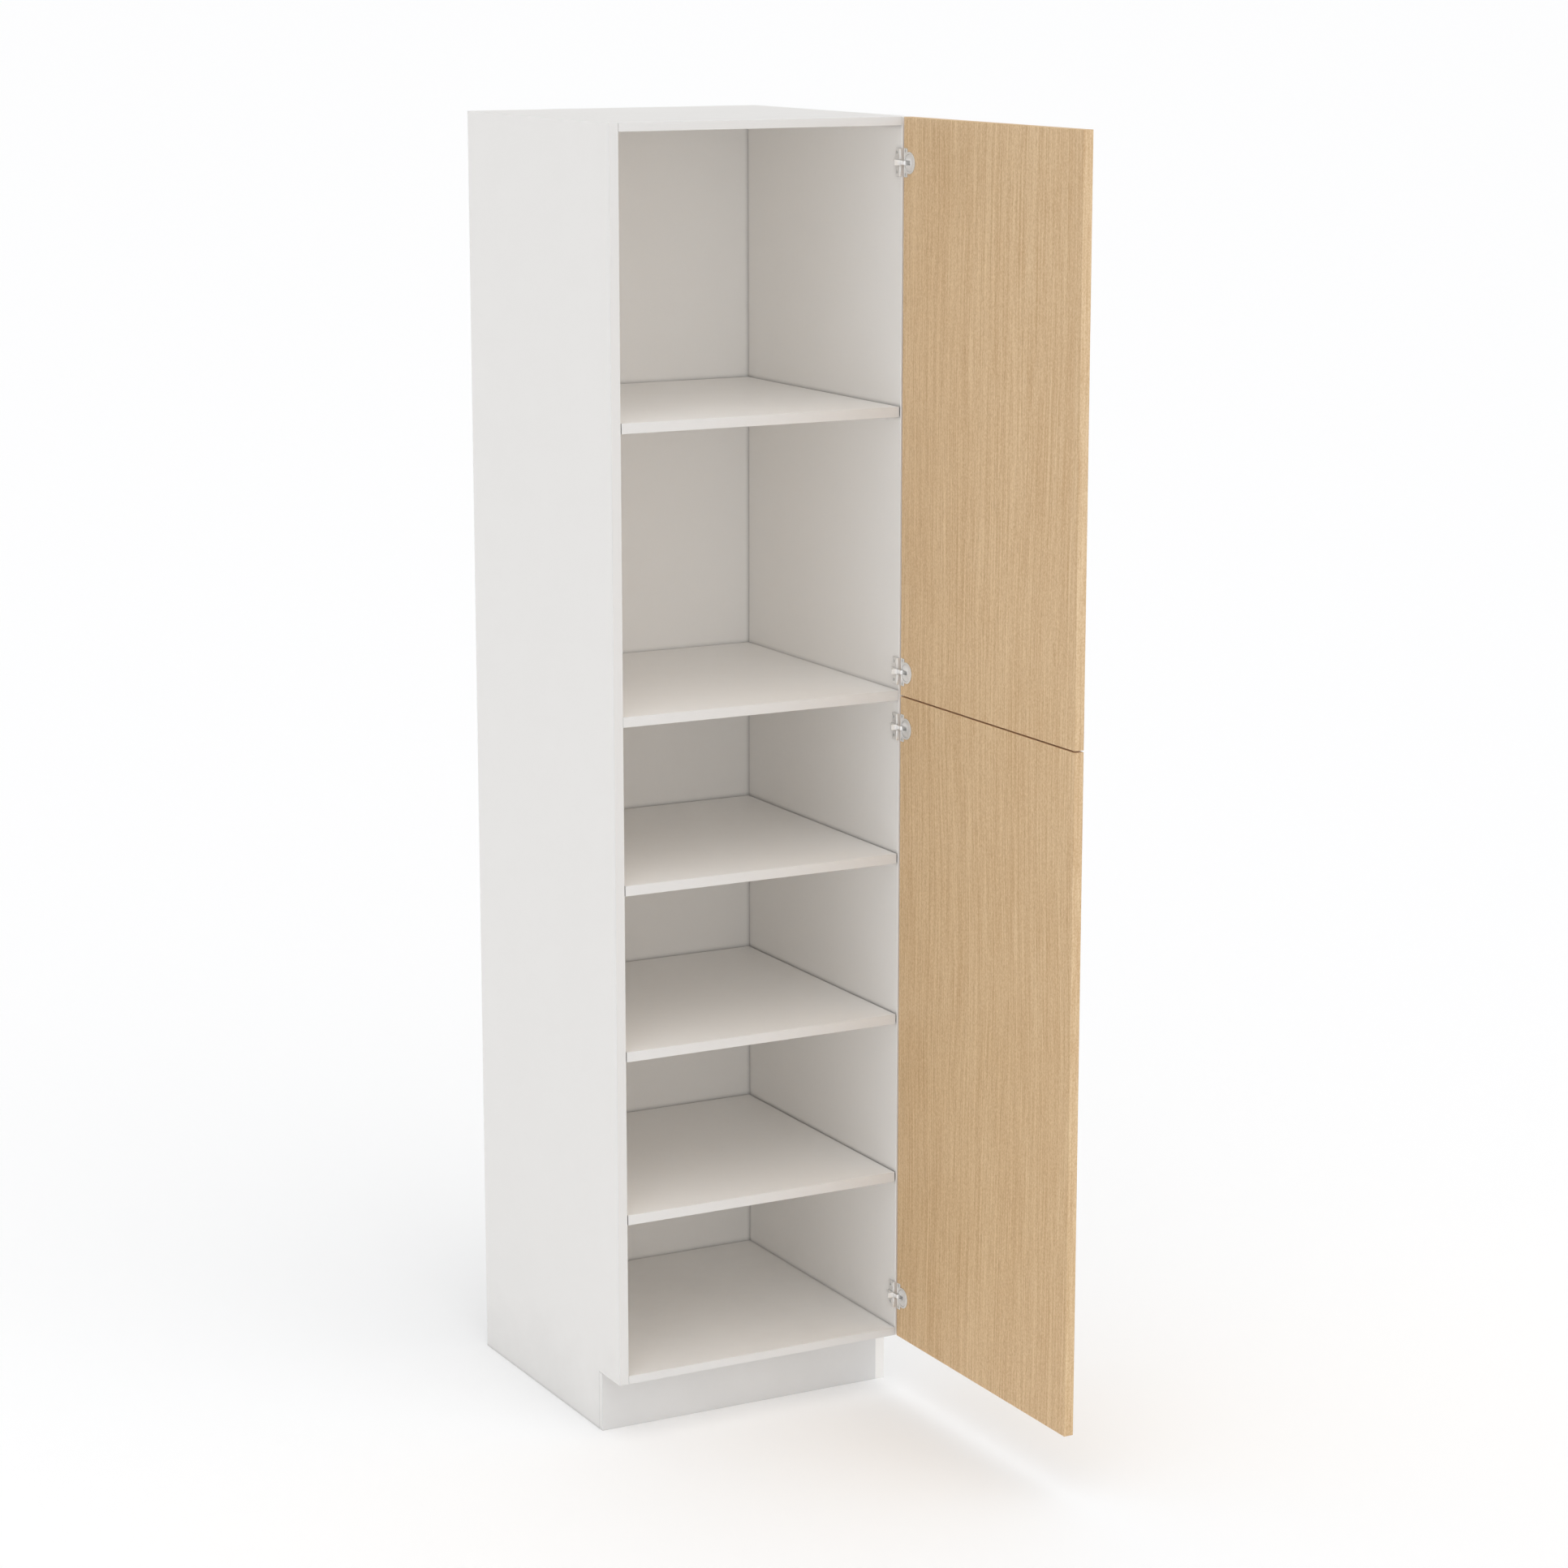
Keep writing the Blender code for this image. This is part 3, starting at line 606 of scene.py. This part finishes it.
PLATE_T = 2.0
PLATE_CORNERS = (1.2, 0.6, 0.8, 0.5, 0.5, 0.5)     # radii round the pressed section
PLATE_TRIM = (1.0, 3.5, 3.5, 1.0)                  # radii of the plate seen from the room
PLATE_BEVEL = 0.35
LIP_T = 1.5
EMBOSS = 0.5                  # how far bosses and ribs stand above the plate
BOSS_R = 5.2
BOSS_SLOPE = (0.6, 0.4)       # across and down at the boss's rim
WELL_FLOOR = 0.3              # left under the screw's well
RIB_Z = 9.2
RIB_HALF = 0.9
RIB_END = RIB_HALF - 0.05     # radius of its round ends
RIB_FROM_FRONT = 3.5
RIB_FROM_REAR = 2.25

ARM_HALF = 5.0                # half the height of the folded arm and its head
ARM_OFF_PLATE = 0.3
ARM_OFF_FRONT = 0.25
ARM_DEPTH = 3.0
ARM_T = 0.9
ARM_BEVEL = 0.2
HEAD_LENGTH = 4.8
HEAD_BEVEL = 0.8
ADJUSTERS = ((20.4, 2.6), (28.6, 3.0))     # place along the arm, radius
ADJUSTER_HEAD = ((0, -0.6), (0, -0.25), (-0.3, 0))        # radius against its own, height
ADJUSTER_SUNK = 0.15
ADJUSTER_RECESS = 0.45
ADJUSTER_RECESS_REACH = 0.62  # of its radius
WELL_DEPTH = 0.5
WELL_GAP = 0.3
NECK_HALF = 3.7               # half the neck's height
NECK_HALF_T = 0.72
NECK_BEVEL = 0.25
NECK_START = ((0, 0), (-4, -0.9))          # the neck's centre line from the pin, before its bend
NECK_X = -14.0                # where the neck runs straight, beside the plate's lip
BEND_R = 3.6
BEND_Y = 2.15                 # height of the bend's centre along Y
BEND_STEPS = 12
BEND_ENTRY = (-8, BEND_Y - BEND_R + 0.03)
KNUCKLE_R = 1.8
KNUCKLE_INSET = 0.1           # below and above, against the neck
KNUCKLE_EASE = 0.3
PIN_R = 1.2
PIN_EASE = 0.4
PIN_SIDES = 24

FLANGE_R = 20.0
FLANGE_T = 0.8
FLANGE_STEPS = 60
FLANGE_CORNER = 2.4
FLANGE_BEVEL = 0.22
CUP_SIDES = 64
CUP_R = 17.2
CUP_INNER_R = 16.3
CUP_FROM_EDGE = 18.9          # from the cup's centre to the flange's straight edge
CUP_DEPTH = 12.6
CUP_SUNK = 0.3                # the cup's depth is counted from this far under the flange
CUP_FLOOR_T = 0.9
CUP_FOOT = ((-1.8, 0), (-0.6, 0.4), (0, 1.6))      # steps from the cup's radius and from its floor
CUP_INNER_FOOT = ((-1.1, 0), (0, 0.8))
ROLLED_RIM = ((0.7, 0.05), (0.3, 0.35), (-0.4, 0.35), (-0.8, 0.05))
WING_INNER = 6.5              # from the cup's centre to the wings' inner edge
FLANGE_BOSS = ((4.6, 0), (4.2, 0.3))       # radius and height at its foot and top
HOUSING_GAP = 0.2
HOUSING_FOOT = ((-0.8, -0.1), (0, 0.7))
HOUSING_EASE = 0.4            # slope at its upper edge
HOUSING_SUNK = 0.05           # its top, under the middle of the flange's sheet
HOUSING_BEVEL = 0.25
SLOT_HALF = NECK_HALF + 0.4
SLOT_END = -3.6
SLOT_CORNER = 1.6
BORE_R = 1.6
BORE_SPARE = 0.4              # beyond each end of the pin
SLOT_FLOOR = 0.1              # left of the housing under its slot
RECESS_HALF = 0.32            # half the width of a cross recess's bars


# ------------------------------------------------------------------ hinges
def mounting_plate():
    """A pressed plate with a turned-up front lip, notched where the arm comes through."""
    wall, lip = PLATE_HIGH.x, PLATE_LOW.x
    face = wall - PLATE_T
    front, rear, half = PLATE_LOW.y, PLATE_HIGH.y, PLATE_HIGH.z
    inner = front + LIP_T
    section = [(wall, front), (wall, rear), (face, rear), (face, inner), (lip, inner), (lip, front)]
    section = rounded(section, PLATE_CORNERS)
    trim = rounded(rectangle((front - PAST, -half), (rear, half)), PLATE_TRIM)
    notch = ARM_HALF + PAST
    notch = box((lip - PAST, front - PAST, -notch), (face, inner + 2 * PAST, notch))
    bosses, wells, ribs = [], [], []
    top = PLATE_T + EMBOSS
    across, down = BOSS_SLOPE
    boss = [(0, EMBOSS), (BOSS_R, EMBOSS), (BOSS_R, top - down), (BOSS_R - across, top), (0, top)]
    for side in (1, -1):
        place = Matrix.Translation((wall, PLATE_SCREW.y, side * PLATE_SCREW.z)) @ TOWARDS_ROOM
        bosses.append(moved(turned(boss), place))
        wells.append(moved(disc(SCREW_WELL_R, WELL_FLOOR, top + PAST), place))
        z = side * RIB_Z
        rib = rectangle((front + RIB_FROM_FRONT, z - RIB_HALF), (rear - RIB_FROM_REAR, z + RIB_HALF))
        ribs.append(prism(rounded(rib, [RIB_END] * 4), "X", face - EMBOSS, wall - PAST))
    plate = prism(section, "Z", -half - PAST, half + PAST)
    trim = prism(trim, "X", lip - PAST, wall + PAST)
    plate = solid(plate, keep=[trim], cut=[notch], bevel=PLATE_BEVEL)
    return solid(plate, add=bosses + ribs, cut=wells)


def driver_recess(depth, reach):
    """The two bars of a cross recess, to cut from a screw head whose top is at z 0."""
    half = RECESS_HALF
    return [
        box((-reach, -half, -depth), (reach, half, PAST)),
        box((-half, -reach, -depth), (half, reach, PAST)),
    ]


def stepped(radius, height, steps):
    """Points of a turned profile, given as steps from a radius and a height."""
    return [(radius + across, height + up) for across, up in steps]


def closed(points):
    """The profile brought in to the axis at both ends."""
    return [(0, points[0][1]), *points, (0, points[-1][1])]


def adjuster(radius):
    head = turned(closed(stepped(radius, 0, ADJUSTER_HEAD)))
    return solid(head, cut=driver_recess(ADJUSTER_RECESS, radius * ADJUSTER_RECESS_REACH))


def neck_path(end_y):
    """The neck's centre line in the hinge frame's X and Y, from the pin into the arm's head."""
    turns = [math.pi / 2 * (1 - k / BEND_STEPS) for k in range(BEND_STEPS + 1)]
    centre = NECK_X + BEND_R
    bend = [(centre - BEND_R * math.cos(t), BEND_Y - BEND_R * math.sin(t)) for t in turns]
    return [*NECK_START, BEND_ENTRY, *bend, (NECK_X, end_y)]


def hinge_arm():
    """Folded arm on the plate with its two adjusting screws, the head, and the neck to the pin."""
    foot = PLATE_HIGH.x - PLATE_T - ARM_OFF_PLATE
    web, tip = foot - ARM_DEPTH, ARM_LOW.x
    front, rear = PLATE_LOW.y + ARM_OFF_FRONT, ARM_HIGH.y
    section = [(foot, -ARM_HALF), (foot, ARM_HALF), (web, ARM_HALF), (web, -ARM_HALF)]
    section = rounded(section, [0, 0, ARM_T, ARM_T])
    hollow = ARM_HALF - ARM_T
    hollow = box((web + ARM_T, front + HEAD_LENGTH, -hollow), (foot + PAST, rear + PAST, hollow))
    channel = solid(prism(section, "Y", front, rear), cut=[hollow], bevel=ARM_BEVEL)
    head = box((tip, front, -ARM_HALF), (foot, front + HEAD_LENGTH, ARM_HALF))
    head = solid(head, bevel=HEAD_BEVEL, segments=3)

    sunk = Matrix.Translation((0, 0, -ADJUSTER_SUNK))
    wells, screws = [], []
    for y, radius in ADJUSTERS:
        place = Matrix.Translation((web, y, 0)) @ TOWARDS_ROOM
        wells.append(moved(disc(radius + WELL_GAP, -WELL_DEPTH, PAST), place))
        screws.append(moved(adjuster(radius), place @ sunk))

    neck = ribbon(neck_path(front + HEAD_LENGTH / 2), NECK_HALF_T)
    neck = solid(prism(neck, "Z", -NECK_HALF, NECK_HALF), bevel=NECK_BEVEL)
    low, high = -NECK_HALF + KNUCKLE_INSET, NECK_HALF - KNUCKLE_INSET
    ease = KNUCKLE_EASE
    knuckle = turned(closed([
        (KNUCKLE_R - ease, low), (KNUCKLE_R, low + ease),
        (KNUCKLE_R, high - ease), (KNUCKLE_R - ease, high)]))
    end, ease = ARM_HIGH.z, PIN_EASE
    pin = turned(closed([
        (PIN_R - ease, -end), (PIN_R, ease - end),
        (PIN_R, end - ease), (PIN_R - ease, end)]), PIN_SIDES)
    arm = solid(solid(channel, add=[head], cut=wells), add=[neck, knuckle, pin])
    return solid(arm, add=screws)


def cup_flange(half):
    """The round flange with two square wings towards the door's edge, drawn about the cup's axis."""
    start = math.acos(WING_INNER / FLANGE_R)
    sweep = 2 * math.pi - 2 * start
    turns = [start + sweep * k / FLANGE_STEPS for k in range(FLANGE_STEPS + 1)]
    arc = [(FLANGE_R * math.cos(t), FLANGE_R * math.sin(t)) for t in turns]
    edge, corner = CUP_FROM_EDGE, FLANGE_CORNER
    outline = [(edge, -half), (edge, half), (WING_INNER, half), *arc, (WING_INNER, -half)]
    outline = rounded(outline, [corner, corner, corner] + [0] * len(arc) + [corner])
    return solid(prism(outline, "Z", -FLANGE_T, 0), bevel=FLANGE_BEVEL)


def cup_housing(floor, top):
    """The block inside the cup, slotted from its middle to the edge for the neck's swing."""
    radius = CUP_INNER_R - HOUSING_GAP
    profile = stepped(radius, floor, HOUSING_FOOT)
    profile += [(radius, top - HOUSING_EASE), (radius - HOUSING_EASE, top)]
    slot = rectangle((SLOT_END, -SLOT_HALF), (CUP_FROM_EDGE + PAST, SLOT_HALF))
    slot = prism(rounded(slot, [SLOT_CORNER, 0, 0, SLOT_CORNER]), "Z", floor + SLOT_FLOOR, 3 * PAST)
    return solid(turned(closed(profile), CUP_SIDES), cut=[slot], bevel=HOUSING_BEVEL)


def hinge_cup():
    """Pressed cup with winged flange, a rolled rim, and a slotted housing round the arm's path."""
    centre_y = CUP_HIGH.y - CUP_FROM_EDGE
    underside = -FLANGE_T - CUP_SUNK - CUP_DEPTH
    floor = underside + CUP_FLOOR_T
    sheet = -FLANGE_T / 2
    shell = closed([*stepped(CUP_R, underside, CUP_FOOT), (CUP_R, sheet)])
    rim = stepped(CUP_R, 0, ROLLED_RIM)
    rim = closed([(rim[0][0], sheet), *rim])
    mouth = closed([*stepped(CUP_INNER_R, floor, CUP_INNER_FOOT), (CUP_INNER_R, 2 * PAST)])
    shell, rim, mouth = (turned(profile, CUP_SIDES) for profile in (shell, rim, mouth))
    bosses, wells = [], []
    (foot_r, foot), (top_r, top) = FLANGE_BOSS
    for side in (1, -1):
        place = Matrix.Translation((CUP_SCREW.y - centre_y, side * CUP_SCREW.z, 0))
        bosses.append(moved(turned(closed([(foot_r, sheet), (foot_r, foot), (top_r, top)])), place))
        wells.append(moved(disc(SCREW_WELL_R, -2 * PAST, 2 * PAST), place))
    bore_end = ARM_HIGH.z + BORE_SPARE
    upright = Matrix.Rotation(math.pi / 2, 4, "X")
    bore = disc(BORE_R, -bore_end, bore_end, PIN_SIDES)
    bore = moved(bore, Matrix.Translation((-centre_y, 0, CUP_LOW.x)) @ upright)

    cup = solid(cup_flange(CUP_HIGH.z), add=[shell, rim], cut=[mouth])
    cup = solid(cup, add=bosses, cut=wells)
    cup = solid(cup, add=[cup_housing(floor, sheet - HOUSING_SUNK)])
    cup = solid(cup, cut=[bore])
    return moved(cup, Matrix.Translation((CUP_LOW.x, centre_y, 0)) @ TOWARDS_ROOM)


def dress_hinges():
    """All four hinges share one mesh of each kind."""
    makers = {"plate": mounting_plate, "arm": hinge_arm, "cup": hinge_cup}
    for kind, make in makers.items():
        mesh = to_mesh(f"hinge_{kind}", make(), SLOT_OF[f"{HINGES[0]}_{kind}"])
        for hinge in HINGES:
            stand_in(f"{hinge}_{kind}", mesh, Matrix.Translation(hinge_origin(hinge)))


# ------------------------------------------------------------------ screws and pins, in millimetres
SCREW_TIP = ((0, 0), (0.35, 0.5), (1.5, 2.2))      # radius, height above the point
SCREW_HEAD = ((1.5, -1.9), (2.7, -0.42), (2.9, -0.2), (2.85, -0.05))     # radius, height
SCREW_RECESS = 1.1
SCREW_RECESS_REACH = 1.6

SHANK_R = 2.5
SHANK_EASE = 0.4
COLLAR_R = 3.5
COLLAR_LOW = 0.3              # off the side panel's face
COLLAR_HIGH = 1.5
COLLAR_EASE = 0.2
TIP_R = 0.8                   # the round at the pin's free end
TIP_STEPS = 6


def wood_screw(length):
    """Countersunk screw with a cross recess; the head's top is at z 0 and the tip below it."""
    profile = [(radius, height - length) for radius, height in SCREW_TIP]
    screw = turned([*profile, *SCREW_HEAD, (0, 0)])
    return solid(screw, cut=driver_recess(SCREW_RECESS, SCREW_RECESS_REACH))


def shelf_pin(length, reach):
    """Turned pin: a plain shank in the board, a collar on the board's face and a rounded end."""
    tail = reach - length
    profile = [
        (SHANK_R - SHANK_EASE, tail), (SHANK_R, tail + SHANK_EASE), (SHANK_R, COLLAR_LOW),
        (COLLAR_R - COLLAR_EASE, COLLAR_LOW), (COLLAR_R, COLLAR_LOW + COLLAR_EASE),
        (COLLAR_R, COLLAR_HIGH - COLLAR_EASE), (COLLAR_R - COLLAR_EASE, COLLAR_HIGH),
        (SHANK_R, COLLAR_HIGH)]
    for step in range(TIP_STEPS + 1):
        turn = math.pi / 2 * step / TIP_STEPS
        profile.append((
            SHANK_R - TIP_R + TIP_R * math.cos(turn), reach - TIP_R + TIP_R * math.sin(turn)))
    return turned(closed(profile))


def in_slot(slot):
    """The CAD nodes of one finish."""
    return [name for name in nodes if SLOT_OF[name] == slot]


def dress_screws():
    """Screws of the same length share a mesh."""
    meshes = {}
    for name in in_slot("screw_steel"):
        low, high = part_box(name)
        length = round((high.x - low.x) / MM, 2)
        if length not in meshes:
            meshes[length] = to_mesh("countersunk_screw", wood_screw(length), SLOT_OF[name])
        head = Vector((low.x, (low.y + high.y) / 2, (low.z + high.z) / 2))
        stand_in(name, meshes[length], Matrix.Translation(head) @ TOWARDS_ROOM)


def dress_shelf_pins():
    """Pins of the same length and reach share a mesh, turned to face inwards from each side."""
    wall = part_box("right_side_panel")[0].x
    meshes = {}
    for name in in_slot("shelf_pin_nickel"):
        low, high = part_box(name)
        middle = (low + high) / 2
        side = 1 if middle.x > 0 else -1
        length = round((high.x - low.x) / MM, 2)
        reach = round((wall - min(abs(low.x), abs(high.x))) / MM, 2)
        if (length, reach) not in meshes:
            meshes[length, reach] = to_mesh("shelf_pin", shelf_pin(length, reach), SLOT_OF[name])
        place = Matrix.Translation((side * wall, middle.y, middle.z))
        stand_in(name, meshes[length, reach], place @ Matrix.Rotation(-side * math.pi / 2, 4, "Y"))


# ------------------------------------------------------------------ put together
def dress_boards():
    """The boards and doors keep their CAD shapes and take their finished materials."""
    for name, node in nodes.items():
        node.data.materials.clear()
        node.data.materials.append(LOOKS[SLOT_OF[name]])


dress_boards()
dress_hinges()
dress_screws()
dress_shelf_pins()
add_camera()
add_floor()
add_lights()
